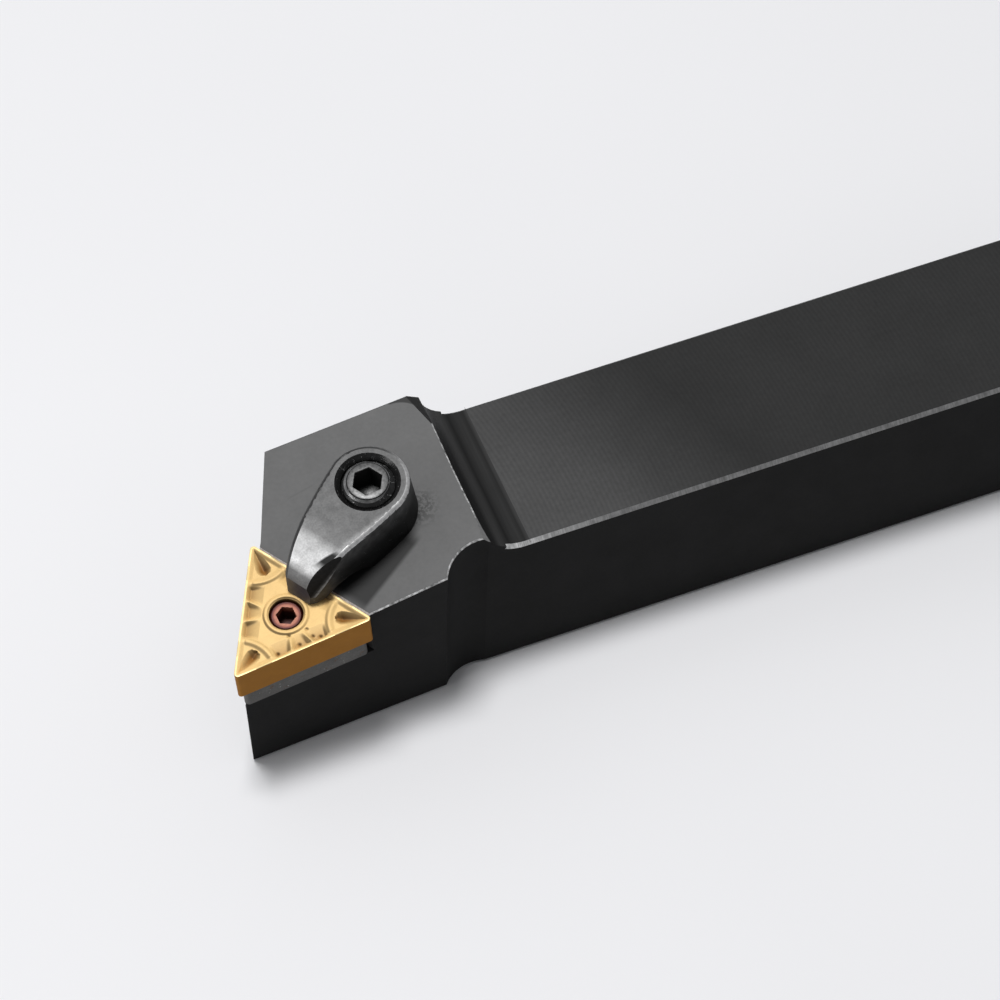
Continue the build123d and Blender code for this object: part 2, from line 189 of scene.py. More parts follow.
class Material:
    """A Principled material whose nodes are added by short calls."""

    def __init__(self, name):
        self.data = bpy.data.materials.new(name)
        self.data.use_nodes = True
        self.tree = self.data.node_tree
        self.shader = self.tree.nodes["Principled BSDF"]
        self.place = self.node("ShaderNodeTexCoord").outputs["Object"]

    def node(self, kind, **settings):
        new = self.tree.nodes.new(kind)
        for key, value in settings.items():
            setattr(new, key, value)
        return new

    def feed(self, socket, value):
        """Links value if it is a socket, and otherwise sets it."""
        if isinstance(value, bpy.types.NodeSocket):
            self.tree.links.new(value, socket)
        elif hasattr(value, "__len__") and len(value) == 3 and socket.type == "RGBA":
            socket.default_value = (*value, 1)
        else:
            socket.default_value = value

    def set(self, base=None, roughness=None, metallic=None, specular=None):
        """Feeds the shader's main inputs, each with a value or a socket."""
        names = {
            "Base Color": base,
            "Roughness": roughness,
            "Metallic": metallic,
            "Specular IOR Level": specular,
        }
        for name, value in names.items():
            if value is not None:
                self.feed(self.shader.inputs[name], value)

    def noise(self, per_mm, detail=4, seed=0.0, roughness=0.55):
        """Noise from 0 to 1 with so many cells per millimetre, one number or one for each axis."""
        per_mm = per_mm if hasattr(per_mm, "__len__") else (per_mm,) * 3
        stretch = self.node("ShaderNodeMapping")
        stretch.inputs["Scale"].default_value = [1000 * f for f in per_mm]
        stretch.inputs["Location"].default_value = (seed, seed * 1.7, seed * 0.6)
        self.feed(stretch.inputs["Vector"], self.place)
        noise = self.node("ShaderNodeTexNoise")
        noise.inputs["Scale"].default_value = 1
        noise.inputs["Detail"].default_value = detail
        noise.inputs["Roughness"].default_value = roughness
        self.feed(noise.inputs["Vector"], stretch.outputs["Vector"])
        return noise.outputs["Fac"]

    def along(self, direction, start_mm=(0, 0, 0)):
        """Millimetres from a starting point along a direction."""
        direction = Vector(direction)
        dot = self.node("ShaderNodeVectorMath", operation="DOT_PRODUCT")
        self.feed(dot.inputs[0], self.place)
        dot.inputs[1].default_value = direction * 1000
        return self.math("SUBTRACT", dot.outputs["Value"], direction.dot(Vector(start_mm)))

    def away(self, point_mm):
        """Millimetres from a point."""
        distance = self.node("ShaderNodeVectorMath", operation="DISTANCE")
        self.feed(distance.inputs[0], self.place)
        distance.inputs[1].default_value = Vector(point_mm) * MM
        return self.math("MULTIPLY", distance.outputs["Value"], 1000.0)

    def span(self, value, start, end):
        """0 up to start, 1 from end on, and smooth between them."""
        span = self.node("ShaderNodeMapRange", interpolation_type="SMOOTHSTEP")
        self.feed(span.inputs["Value"], value)
        span.inputs["From Min"].default_value = start
        span.inputs["From Max"].default_value = end
        return span.outputs["Result"]

    def fade(self, value, start, end):
        """1 up to start, 0 from end on, and smooth between them."""
        return self.math("SUBTRACT", 1.0, self.span(value, start, end))

    def product(self, *values):
        """All the values multiplied together."""
        result = values[0]
        for value in values[1:]:
            result = self.math("MULTIPLY", result, value)
        return result

    def ramp(self, value, *stops):
        """Colour that passes through (place, colour) stops as value grows from 0 to 1."""
        ramp = self.node("ShaderNodeValToRGB")
        elements = ramp.color_ramp.elements
        while len(elements) < len(stops):
            elements.new(0.5)
        for element, (place, colour) in zip(elements, stops):
            element.position = place
            element.color = (*(colour if len(colour) == 3 else colour * 3), 1)
        self.feed(ramp.inputs["Fac"], value)
        return ramp.outputs["Color"]

    def mix(self, factor, a, b, mode="MIX"):
        """Colour a at factor 0 and b at factor 1, or blended by another mode."""
        mix = self.node("ShaderNodeMix", data_type="RGBA", blend_type=mode)
        self.feed(mix.inputs[0], factor)
        self.feed(mix.inputs[6], a)
        self.feed(mix.inputs[7], b)
        return mix.outputs[2]

    def math(self, operation, a, b=0.0):
        node = self.node("ShaderNodeMath", operation=operation)
        self.feed(node.inputs[0], a)
        self.feed(node.inputs[1], b)
        return node.outputs[0]

    def mottle(self, colour, amount, per_mm=0.3, detail=5, seed=0.0):
        """Colour made lighter and darker in patches by up to amount."""
        cloud = self.noise(per_mm, detail, seed)
        factor = self.ramp(cloud, (0.3, [1 - amount]), (0.7, [1 + amount]))
        return self.mix(1.0, colour, factor, "MULTIPLY")

    def bump(self, height, depth_mm, strength=1.0):
        """Adds a bump of the given depth; several bumps stack."""
        bump = self.node("ShaderNodeBump")
        bump.inputs["Distance"].default_value = depth_mm * MM
        bump.inputs["Strength"].default_value = strength
        self.feed(bump.inputs["Height"], height)
        previous = self.shader.inputs["Normal"]
        if previous.is_linked:
            self.feed(bump.inputs["Normal"], previous.links[0].from_socket)
        self.feed(previous, bump.outputs["Normal"])


# ---------------------------------------------------------------- finishes
def floor_paper():
    """Plain pale paper."""
    material = Material("floor_paper")
    tint = material.mottle(linear(238, 238, 240), 0.012, 0.01, 2)
    material.set(base=tint, roughness=0.95, specular=0.05)
    return material.data


OIL_SPOT = (-36.9, -3.4, 23.6)
FAR_CORNER = (-35.2, 6.4, 25.0)
FAR_CORNER_STARTS = (((1, 0, 0), (-35.4, 0, 0)), ((0, 1, 0), (0, 6, 0)))
SCRATCH_START = Vector((-49.6, 3.4, 22.9))
SCRATCH_END = Vector((-46.2, 3.9, 23.3))


def head_top_finish():
    """Satin ground steel, blued: oily behind the clamp, with the clamp's painted shadow and reflection
    beside it, and a faint scratch.
    """
    material = Material("head_top")
    tint = material.mottle(linear(97), 0.05, 0.35, 4)
    tint = material.mottle(tint, 0.05, 2.2, 4, 3.0)

    # Specks of oil behind the clamp, and a darker rounded far corner
    smudge = material.fade(material.away(OIL_SPOT), 0.6, 3.2)
    speck = material.span(material.noise(2.6, 5, 8.0), 0.42, 0.56)
    tint = material.mix(material.product(smudge, speck), tint, linear(62))
    beyond = [material.span(material.along(*start), 0, 0.4) for start in FAR_CORNER_STARTS]
    corner = material.product(material.span(material.away(FAR_CORNER), 3.2, 3.4), *beyond)
    tint = material.mix(corner, tint, linear(46))

    # Painted shadow and reflection of the clamp: a dark band along its near side
    reach, across = material.along(CLAMP_X, SCREW_POINT), material.along(CLAMP_Y, SCREW_POINT)
    band = material.product(
        material.fade(across, 6.2, 6.8),
        material.span(across, 1.0, 2.0),
        material.span(reach, -0.8, 1.0),
        material.fade(reach, 9.2, 11.0),
    )
    tint = material.mix(material.math("MULTIPLY", band, 0.93), tint, linear(14))

    line = (SCRATCH_END - SCRATCH_START).normalized()
    middle = (SCRATCH_START + SCRATCH_END) / 2
    aside = material.math("ABSOLUTE", material.along(HEAD_NORMAL.cross(line), SCRATCH_START))
    lengthways = material.math("ABSOLUTE", material.along(line, middle))
    scratch = material.product(material.fade(aside, 0.03, 0.16), material.fade(lengthways, 1.2, 2.0))
    tint = material.mix(material.math("MULTIPLY", scratch, 0.3), tint, linear(80))
    material.set(base=tint, roughness=0.5, specular=0.25)
    material.bump(material.noise((9, 1.2, 4), 3), 0.002, 0.5)
    return material.data


SHANK_TOP_START = (-27, -4, 0)
SHANK_TOP_FADE = (0.93, 0.37, 0)
CUTTER_CENTRE = (-95, -6, 20)
CUTTER_MARKS_PER_MM = 12.0


def shank_top_finish():
    """Blued and milled, with painted light falloff that darkens it away from the head, and faint arcs
    left by the cutter.
    """
    material = Material("shank_top")
    # Painted light falloff: darker with distance from the head
    along = material.span(material.along(SHANK_TOP_FADE, SHANK_TOP_START), 0.0, 36.0)
    tint = material.ramp(
        along, (0.0, linear(74)), (0.35, linear(56)), (0.75, linear(38)), (1.0, linear(42))
    )
    tint = material.mottle(tint, 0.1, 0.12, 4)
    tint = material.mottle(tint, 0.1, 1.8, 5, 5.0)
    radius = material.away(CUTTER_CENTRE)
    arcs = material.math("SINE", material.math("MULTIPLY", radius, CUTTER_MARKS_PER_MM))
    faint = material.ramp(material.math("MULTIPLY_ADD", arcs, 0.5), (0.0, [0.93]), (1.0, [1.07]))
    tint = material.mix(1.0, tint, faint, "MULTIPLY")
    material.set(base=tint, roughness=0.5, specular=0.2)
    material.bump(arcs, 0.0015, 0.4)
    return material.data


HOLLOW_START = (-31.7, 0, 0)
HOLLOW_WIDTH = 5.6


def ramp_finish():
    """The hollow between head and shank: blued, with painted light and shade in bands where the cutter
    stepped across.
    """
    material = Material("ramp")
    across = material.span(material.along((1, 0, 0), HOLLOW_START), 0.0, HOLLOW_WIDTH)
    # Painted light and shade in bands across the cutter's steps
    bands = material.ramp(
        across,
        (0.0, linear(22)),
        (0.15, linear(26)),
        (0.28, linear(50)),
        (0.43, linear(46)),
        (0.58, linear(24)),
        (0.72, linear(40)),
        (0.9, linear(46)),
        (0.97, linear(32)),
        (1.0, linear(56)),
    )
    tint = material.mottle(bands, 0.12, (2.5, 0.15, 2.5), 4)
    material.set(base=tint, roughness=0.5, specular=0.15)
    material.bump(material.noise((5, 0.2, 5), 3), 0.003, 0.6)
    return material.data


def black_side_finish():
    """Deep black oxide on every milled side."""
    material = Material("black_side")
    tint = material.mottle(linear(35), 0.1, 0.2, 4)
    tint = material.mottle(tint, 0.06, 3.0, 3, 4.0)
    material.set(base=tint, roughness=0.6, specular=0.03)
    material.bump(material.noise((0.6, 2, 5), 3), 0.002, 0.4)
    return material.data


FILED_START = (-30, 0, 0)


def filed_finish():
    """Bare steel where a file broke the edge: brightest near the head, with marks across it."""
    material = Material("filed_edge")
    marks = material.noise((7, 0.8, 0.8), 4, 2.0)
    along = material.span(material.along((1, 0, 0), FILED_START), 0.0, 16.0)
    tint = material.ramp(along, (0.0, linear(232)), (0.3, linear(190)), (1.0, linear(140)))
    tint = material.mix(1.0, tint, material.ramp(marks, (0.35, [0.72]), (0.7, [1.15])), "MULTIPLY")
    tint = material.mottle(tint, 0.25, 1.1, 4, 7.0)
    material.set(base=tint, roughness=0.4, metallic=0.45)
    material.bump(marks, 0.01, 0.6)
    return material.data


def worn_finish():
    """Thin edges rubbed back to metal in places."""
    material = Material("worn_edge")
    wear = material.noise(1.6, 6, 1.0, 0.7)
    tint = material.ramp(wear, (0.36, linear(76)), (0.5, linear(168)), (0.64, linear(245)))
    material.set(base=tint, roughness=0.35, metallic=0.3)
    return material.data


def far_edge_finish():
    """Blued edges away from the light."""
    material = Material("far_edge")
    tint = material.mottle(linear(42), 0.25, 1.0, 4)
    material.set(base=tint, roughness=0.5, specular=0.05)
    return material.data


def facet_finish():
    """Small ground facet on the head's rear edge, at the near end of the hollow."""
    material = Material("ground_facet")
    tint = material.mottle(linear(118), 0.15, (0.6, 3, 1), 4)
    material.set(base=tint, roughness=0.45, specular=0.15)
    return material.data


def pocket_finish():
    """Milled floor and walls of the insert's pocket."""
    material = Material("pocket")
    tint = material.mottle(linear(52), 0.15, 0.8, 4)
    material.set(base=tint, roughness=0.5, specular=0.1)
    return material.data


def wall_edge_finish():
    """The ground bevel behind the insert: bright, with the grinder's streaks."""
    material = Material("wall_edge")
    streaks = material.noise((3, 3, 0.5), 4)
    tint = material.ramp(streaks, (0.3, linear(200)), (0.6, linear(250)))
    material.set(base=tint, roughness=0.35, metallic=0.3)
    return material.data


# The finish along the top is given in shares of this distance from the screw
CLAMP_FINISH_REACH = 14.0
CLAMP_TOP_CENTRE = SCREW_POINT + SEAT_UP * 6.2

# How much wider the painted border highlight grows for each millimetre towards the nose
HIGHLIGHT_TAPER = 0.24


def clamp_top_finish():
    """Satin steel with a painted highlight towards the nose and painted shade where the nose turns down.
    """
    material = Material("clamp_top")
    reach, across = material.along(CLAMP_X, SCREW_POINT), material.along(CLAMP_Y, SCREW_POINT)
    # Painted highlight on the nose's roll, and painted shade where the nose turns down
    tint = material.ramp(
        material.math("DIVIDE", reach, CLAMP_FINISH_REACH),
        (0.0, linear(104)),
        (0.46, linear(106)),
        (0.58, linear(118)),
        (0.68, linear(205)),
        (0.82, linear(225)),
        (0.87, linear(120)),
        (0.94, linear(90)),
    )

    # Painted highlight along the near side's border: round the heel, then along the flank
    behind = material.fade(reach, -0.3, 0.3)
    round_end = material.math("MULTIPLY", behind, material.away(CLAMP_TOP_CENTRE))
    flank = material.math("ADD", across, material.math("MULTIPLY", reach, HIGHLIGHT_TAPER))
    border = material.span(material.math("MAXIMUM", round_end, flank), 3.9, 4.7)
    border = material.math("MULTIPLY", border, material.span(across, -2.5, 1.5))
    tint = material.mix(material.math("MULTIPLY", border, 0.6), tint, linear(165))

    # The cheek's painted shade runs a little way onto the top
    cheek_shade = material.product(
        material.span(material.along(CHEEK_NORMAL, CHEEK_POINT), -0.62, -0.42),
        material.span(reach, 8.4, 9.2),
        material.fade(reach, 10.2, 11.2),
    )
    tint = material.mix(cheek_shade, tint, linear(40))
    tint = material.mottle(tint, 0.2, 0.9, 6)
    tint = material.mottle(tint, 0.16, 5.0, 4, 2.0)
    material.set(base=tint, roughness=0.5, metallic=0.15, specular=0.2)
    material.bump(material.noise(7, 4), 0.01, 0.8)
    return material.data


def clamp_rim_finish():
    """Rounded border of the top: painted shade on the far side, a painted highlight on the near side."""
    material = Material("clamp_rim")
    across = material.span(material.along(CLAMP_Y, SCREW_POINT), -3.5, 3.5)
    # Painted shade on the far side, painted highlight on the near side
    tint = material.ramp(
        across, (0.0, linear(58)), (0.35, linear(80)), (0.6, linear(130)), (1.0, linear(180))
    )
    tint = material.mottle(tint, 0.25, 2.2, 5, 4.0)
    material.set(base=tint, roughness=0.4, metallic=0.4, specular=0.3)
    material.bump(material.noise(8, 3), 0.005, 0.5)
    return material.data


def clamp_side_finish():
    """Forged and blued sides, with painted shade from grey below the rim to nearly black at the foot,
    lighter towards the nose, and painted glints.
    """
    material = Material("clamp_side")
    reach = material.span(material.along(CLAMP_X, SCREW_POINT), 8.0, 12.5)
    height = material.span(material.along(SEAT_UP, SCREW_POINT), 2.6, 5.6)
    tint = material.ramp(height, (0.0, linear(20)), (1.0, linear(66)))
    tint = material.mix(reach, tint, linear(62))
    tint = material.mottle(tint, 0.45, 1.1, 6)
    # Painted glints
    glint = material.span(material.noise(3.2, 6, 6.0, 0.75), 0.62, 0.7)
    tint = material.mix(glint, tint, linear(130))
    material.set(base=tint, roughness=0.45, specular=0.12)
    material.bump(material.noise(4, 4), 0.012, 0.5)
    return material.data


CHEEK_TOP = SCREW_POINT + 10.2 * CLAMP_X + 5.3 * SEAT_UP
CHEEK_DOWN = -0.95 * CLAMP_X - SEAT_UP


def clamp_cheek_finish():
    """Rough ground flat beside the nose, with painted shade over it and a painted highlight along its
    lower border.
    """
    material = Material("clamp_cheek")
    down = material.span(material.along(CHEEK_DOWN, CHEEK_TOP), -0.3, 1.9)
    # Painted shade, brightening to a painted highlight at the lower border
    tint = material.ramp(
        down, (0.0, linear(24)), (0.7, linear(14)), (0.85, linear(50)), (1.0, linear(135))
    )
    tint = material.mottle(tint, 0.5, 2.6, 6)
    material.set(base=tint, roughness=0.5, specular=0.1)
    material.bump(material.noise(4, 5), 0.03, 0.8)
    return material.data


def clamp_front_finish():
    """Blunt end of the nose, blue-grey."""
    material = Material("clamp_front")
    tint = material.mottle(linear(56, 58, 66), 0.25, 1.5, 5)
    material.set(base=tint, roughness=0.45, metallic=0.2)
    material.bump(material.noise(5, 4), 0.01, 0.5)
    return material.data


def oily_thread_finish():
    """Black oiled thread with painted glints."""
    material = Material("oily_thread")
    tint = material.mottle(linear(46), 0.3, 2.0, 4)
    # Painted glints
    glint = material.span(material.noise(3.0, 5, 3.0, 0.65), 0.6, 0.68)
    tint = material.mix(glint, tint, linear(150))
    material.set(base=tint, roughness=0.22, metallic=0.6)
    material.bump(material.noise(5, 4), 0.03, 0.8)
    return material.data


def screw_face_finish():
    """Bright end face of the screw, dulled in spots."""
    material = Material("screw_face")
    tint = material.mottle(linear(100), 0.45, 3.0, 6)
    material.set(base=tint, roughness=0.4, metallic=0.5)
    material.bump(material.noise(7, 3), 0.006, 0.6)
    return material.data


def screw_shoulder_finish():
    """Chamfer round the end face, painted bright as a highlight."""
    material = Material("screw_shoulder")
    tint = material.mottle(linear(150), 0.4, 1.5, 5)
    material.set(base=tint, roughness=0.25, metallic=0.9)
    material.bump(material.noise(6, 4), 0.01, 0.6)
    return material.data


def screw_dark_finish():
    """Blackened socket."""
    material = Material("screw_black")
    tint = material.mottle(linear(30), 0.3, 1.5, 4)
    material.set(base=tint, roughness=0.3, specular=0.4)
    return material.data


PIN_TOP_DEPTH = 0.45

# The finish is given in shares of this distance from the centre of the pin's end
PIN_FINISH_RADIUS = 3.0


def pin_finish():
    """Copper-coloured pin: bright on its ring, with painted shadow at the rim and painted shade down the
    socket.
    """
    material = Material("pin_copper")
    radius = material.away(INSERT_CENTRE - PIN_TOP_DEPTH * SEAT_UP)
    # Painted shade in the socket, then the bright ring, then painted shadow at the rim
    tint = material.ramp(
        material.math("DIVIDE", radius, PIN_FINISH_RADIUS),
        (0.0, linear(70, 20, 16)),
        (0.33, linear(160, 104, 84)),
        (0.43, linear(150, 92, 72)),
        (0.48, linear(104, 44, 32)),
        (0.53, linear(62, 18, 12)),
    )
    tint = material.mottle(tint, 0.18, 3.0, 4)
    material.set(base=tint, roughness=0.35, metallic=0.35)
    material.bump(material.noise(6, 3), 0.004, 0.5)
    return material.data


def shim_finish():
    """Dull sintered carbide with bright and rusty specks."""
    material = Material("shim_carbide")
    tint = material.mottle(linear(92, 91, 89), 0.16, 0.6, 4)
    tint = material.mottle(tint, 0.14, 5.0, 3, 5.0)
    bright = material.span(material.noise(2.4, 3, 9.0), 0.68, 0.72)
    rusty = material.span(material.noise(1.7, 4, 14.0), 0.62, 0.68)
    tint = material.mix(bright, tint, linear(150))
    tint = material.mix(material.math("MULTIPLY", rusty, 0.6), tint, linear(96, 66, 48))
    material.set(base=tint, roughness=0.6, specular=0.1)
    material.bump(material.noise(6, 3), 0.008, 0.5)
    return material.data


# Way that slopes face to get painted light; slopes facing the opposite way get painted shade
PAINTED_LIGHT_WAY = (0.8, 0.6, 0.1)


def coating_finish(name, colour, roughness, metallic, specular=0.5):
    """Gold ceramic coating, with painted shade in the chip breaker's hollows and on slopes that face
    forward, and painted light on slopes that face the other way.
    """
    material = Material(name)
    # Painted shade, deepest in the hollows of the relief
    depth = material.span(material.along(SEAT_UP, INSERT_CENTRE), -0.75, -0.16)
    hollow = [0.62 * colour[0], 0.5 * colour[1], 0.32 * colour[2]]
    tint = material.ramp(depth, (0.0, linear(*hollow)), (1.0, linear(*colour)))
    # Painted light and shade by the way each slope faces
    facing = material.node("ShaderNodeVectorMath", operation="DOT_PRODUCT")
    material.feed(facing.inputs[0], material.node("ShaderNodeNewGeometry").outputs["Normal"])
    facing.inputs[1].default_value = PAINTED_LIGHT_WAY
    share = material.span(facing.outputs["Value"], -0.6, 0.5)
    slope = material.ramp(share, (0.0, [0.32]), (0.45, [1.0]), (0.8, [1.32]))
    tint = material.mix(1.0, tint, slope, "MULTIPLY")
    tint = material.mottle(tint, 0.05, 0.5, 4)
    tint = material.mottle(tint, 0.04, 5.0, 3, 4.0)
    material.set(base=tint, roughness=roughness, metallic=metallic, specular=specular)
    material.bump(material.noise(9, 3), 0.0015, 0.5)
    return material.data


def flank_finish():
    """Flat sides of the insert, in a deeper gold."""
    material = Material("gold_flank")
    tint = material.mottle(linear(148, 99, 28), 0.06, 0.6, 4)
    tint = material.mottle(tint, 0.05, (1.5, 1.5, 9), 3, 4.0)
    material.set(base=tint, roughness=0.5, specular=0.06)
    return material.data


# ---------------------------------------------------------------- pieces
def add_piece(name, mesh, body, node):
    """Links a mesh that stands for one CAD node and moves with its body."""
    piece = bpy.data.objects.new(name, mesh)
    bpy.context.scene.collection.objects.link(piece)
    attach(piece, body)
    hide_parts(node)


def skin(node, body, finishes, zone):
    """The node's own surface, with a finish chosen facet by facet from its centre and normal."""
    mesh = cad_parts[node].data.copy()
    mesh.name = node + "_skin"
    mesh.materials.clear()
    names = sorted(finishes)
    for name in names:
        mesh.materials.append(finishes[name])
    for facet in mesh.polygons:
        facet.material_index = names.index(zone(facet.center / MM, facet.normal))
    add_piece(node + "_skin", mesh, body, node)


SHANK_TOP = 20.0
WALL_BEVEL_NORMAL = Vector((-0.650, -0.452, 0.611))
FAR_FACET_NORMAL = Vector((0.539, 0.104, 0.836))
NEAR_FACET_NORMAL = Vector((0.658, -0.153, 0.737))
SAME_WAY = 0.999


def holder_zone(centre, normal):
    """Finish of the holder's facet, from where it lies and the way it faces."""
    if normal.dot(HEAD_NORMAL) > 0.9997 and centre.z > SHANK_TOP + 0.5:
        return "head_top"
    if normal.z > 0.9999 and centre.z > SHANK_TOP - 0.1:
        return "shank_top"
    if centre.x > -33 and centre.z > SHANK_TOP - 0.05 and abs(normal.y) < 0.01 and normal.z > 0.05:
        return "ramp"
    on_shank_edge = abs(centre.y) > 9.5 and SHANK_TOP - 0.5 < centre.z < SHANK_TOP + 0.8
    if on_shank_edge and normal.z > 0.3 and centre.x > -30:
        return "filed_edge" if centre.y < 0 else "far_edge"
    if normal.dot(WALL_BEVEL_NORMAL) > SAME_WAY:
        return "wall_edge"
    if normal.dot(SEAT_S) < -SAME_WAY or normal.dot(SEAT_UP) > SAME_WAY:
        return "pocket"
    if normal.dot(FAR_FACET_NORMAL) > 0.9995:
        return "far_edge"
    if normal.dot(NEAR_FACET_NORMAL) > 0.9995:
        return "facet"
    if 0.6 < normal.z < 0.9 and centre.z > SHANK_TOP + 1:
        return "far_edge" if centre.y > 9 else "worn_edge"
    return "black_side"


# Just outside the mouth of the clamp's bore
BORE_ZONE_RADIUS = 3.7


def clamp_zone(centre, normal):
    """Finish of the clamp's facet, from its reach towards the nose, its height and its radius."""
    offset = centre - SCREW_POINT
    reach, height = offset.dot(CLAMP_X), offset.dot(SEAT_UP)
    radius = (offset - SEAT_UP * height).length
    facing_up = normal.dot(SEAT_UP)
    if radius < BORE_ZONE_RADIUS and facing_up < 0.95:
        return "thread"
    if facing_up > 0.985:
        return "top"
    if normal.dot(CHEEK_NORMAL) > SAME_WAY:
        return "cheek"
    if abs(normal.dot(CLAMP_Y)) < 0.02 and facing_up > 0.3 and reach > 6:
        return "top"
    if facing_up > 0.28 and height > 2.3:
        return "rim"
    if reach > 12.5 and normal.dot(CLAMP_X) > 0.9:
        return "front"
    return "side"


SHARP_ANGLE = radians(38)


def ring_mesh(name, bands, matrix, closed):
    """Mesh lofted through closed rings of points in millimetres.

    bands is a list of (finish, rings): the strips up to each of its rings take that finish.
    The last ring joins the first if closed, and otherwise both ends are capped.
    """
    rings = [ring for finish, band in bands for ring in band]
    owners = [index for index, (finish, band) in enumerate(bands) for ring in band]
    count = len(rings[0])
    after = np.roll(np.arange(count), -1)
    faces, indices = [], []
    for row in range(len(rings) if closed else len(rings) - 1):
        low, high = row * count, (row + 1) % len(rings) * count
        columns = (low + np.arange(count), high + np.arange(count), high + after, low + after)
        faces += np.stack(columns, 1).tolist()
        indices += [owners[(row + 1) % len(rings)]] * count
    if not closed:
        last = (len(rings) - 1) * count
        faces += [tuple(range(count)), tuple(range(last + count - 1, last - 1, -1))]
        indices += [owners[0], owners[-1]]
    mesh = bpy.data.meshes.new(name)
    mesh.from_pydata(np.concatenate(rings).tolist(), [], faces)
    for finish, band in bands:
        mesh.materials.append(finish)
    mesh.polygons.foreach_set("material_index", indices)
    mesh.polygons.foreach_set("use_smooth", [True] * len(faces))
    mesh.transform(matrix)
    mesh.set_sharp_from_angle(angle=SHARP_ANGLE)
    mesh.update()
    return mesh


# ---------------------------------------------------------------- insert
INSERT_NOSE = 0.4
INSERT_HOLE = 1.905
LAND = 0.2
HONE = 0.035
ARC_STEPS = 12
EDGE_STEPS = 150
DECK_ROWS = 104
BACK_ROWS = 26
ROW_CROWDING = 0.9
FLANK_RIM = 0.1

# Half the length of the insert's edge, measured to its sharp corners
HALF_EDGE = INSCRIBED_CIRCLE * sqrt(3) / 2

# The face's fall behind the land, and how far in from the edge it starts and ends
FACE_FALL = 0.15
FACE_FALL_SPAN = (0.2, 0.75)

# The corner wall: its distance from the sharp corner, its bend towards that corner, its height
WALL_REACH = 5.25
WALL_CURVE = 0.13
WALL_HEIGHT = 0.15

# The scallops along each edge and the ribs between them
SCALLOP_DEPTH = 0.3
RIB_HEIGHT = 0.13
RIB_PLACE = 1.05
RIB_WIDTH = 0.3
RIB_SLANT = 0.3

# The pit's half width and depth at places along the corner's middle line
PIT_PLACES = (0.9, 1.5, 2.2, 3.0, 3.6, 4.0, 4.2)
PIT_HALF_WIDTHS = (0, 0.27, 0.57, 0.78, 0.82, 0.62, 0.02)
PIT_DEPTH_PLACES = (0.9, 2.0, 3.4, 4.2)
PIT_DEPTHS = (0.08, 0.36, 0.62, 0.4)
PIT_TIP = 0.03

# Small round marks beside the leading edge, from the insert's centre
MARKS = ((-4.33, -2.06), (-2.0, -1.82), (-2.11, -3.32), (-0.22, -2.9), (-0.03, -4.62), (-0.51, -3.92))
MARK_DEPTH = 0.14
MARK_RADIUS = 0.16

# The bead round the hole: its height, and the radii where it starts, is full and ends
BEAD_HEIGHT = 0.15
BEAD_RADII = (1.92, 2.1, 2.3, 2.6)


def rounded_triangle(inset):
    """Points round the insert's outline, shrunk by inset, anticlockwise from the cutting corner."""
    noses = []
    for corner in range(3):
        turn = pi + corner * 2 * pi / 3
        reach = INSCRIBED_CIRCLE - 2 * INSERT_NOSE
        sweep = turn + np.linspace(-pi / 3, pi / 3, ARC_STEPS)
        round_end = (INSERT_NOSE - inset) * np.stack((np.cos(sweep), np.sin(sweep)), 1)
        noses.append(reach * np.array((cos(turn), sin(turn))) + round_end)
    points = []
    for nose, following in zip(noses, noses[1:] + noses[:1]):
        share = np.linspace(0, 1, EDGE_STEPS + 2)[1:-1, None]
        points += [nose, nose[-1] * (1 - share) + following[0] * share]
    return np.concatenate(points)


def smooth(value, start, end):
    """0 up to start, 1 from end on, and smooth between them."""
    share = np.clip((value - start) / (end - start), 0, 1)
    return share * share * (3 - 2 * share)


def hump(value, start, top_start, top_end, end):
    """0 outside start and end, 1 between top_start and top_end, and smooth between them."""
    return smooth(value, start, top_start) * (1 - smooth(value, top_end, end))


def chip_breaker(points):
    """Depth of the moulded relief at points on the insert's face: 0 on the land, negative inside."""
    radius = np.hypot(points[:, 0], points[:, 1])
    angle = np.arctan2(points[:, 1], points[:, 0]) - pi
    angle -= np.round(angle / (2 * pi / 3)) * 2 * pi / 3
    inward = INSCRIBED_CIRCLE - radius * np.cos(angle)
    side = np.abs(radius * np.sin(angle))
    edge = inward / 2 - side * sqrt(3) / 2
    middle = HALF_EDGE - inward * sqrt(3) / 2 - side / 2
    in_nose = (2 * INSERT_NOSE - inward) * sqrt(3) > side
    edge = np.where(in_nose, INSERT_NOSE - np.hypot(inward - 2 * INSERT_NOSE, side), edge)

    # The face falls behind the land, and a low wall crosses each corner
    depth = -FACE_FALL * smooth(edge, *FACE_FALL_SPAN)
    wall = WALL_REACH - WALL_CURVE * side**2
    ridge = hump(inward, wall - 1.0, wall - 0.45, wall - 0.32, wall + 0.08)
    depth += WALL_HEIGHT * ridge * smooth(edge, 0.25, 0.9)

    # Scallops along each edge slope up to the middle of the face, with narrow ribs between them
    rib = np.exp(-(((middle - RIB_PLACE + RIB_SLANT * (edge - 1)) / RIB_WIDTH) ** 2))
    scallop = (1 - rib) * smooth(inward, wall, wall + 0.45)
    slope = smooth(edge, 0.2, 0.7) * (1 - np.clip((edge - 0.6) / 1.5, 0, 1))
    depth += slope * (RIB_HEIGHT * rib - SCALLOP_DEPTH * scallop)

    # A pit behind each corner, pointed in front and round behind
    half_width = np.interp(inward, PIT_PLACES, PIT_HALF_WIDTHS)
    slant = np.clip(1 - side / np.maximum(half_width, PIT_TIP), 0, 1)
    pit = np.where(half_width > PIT_TIP, slant, 0)
    depth -= np.interp(inward, PIT_DEPTH_PLACES, PIT_DEPTHS) * smooth(pit, -0.25, 1)

    # A bead round the hole, and the marks
    depth += BEAD_HEIGHT * hump(radius, *BEAD_RADII)
    for s, t in MARKS:
        distance = np.hypot(points[:, 0] - s, points[:, 1] - t)
        depth -= MARK_DEPTH * np.exp(-((distance / MARK_RADIUS) ** 2))
    return np.minimum(depth, 0)


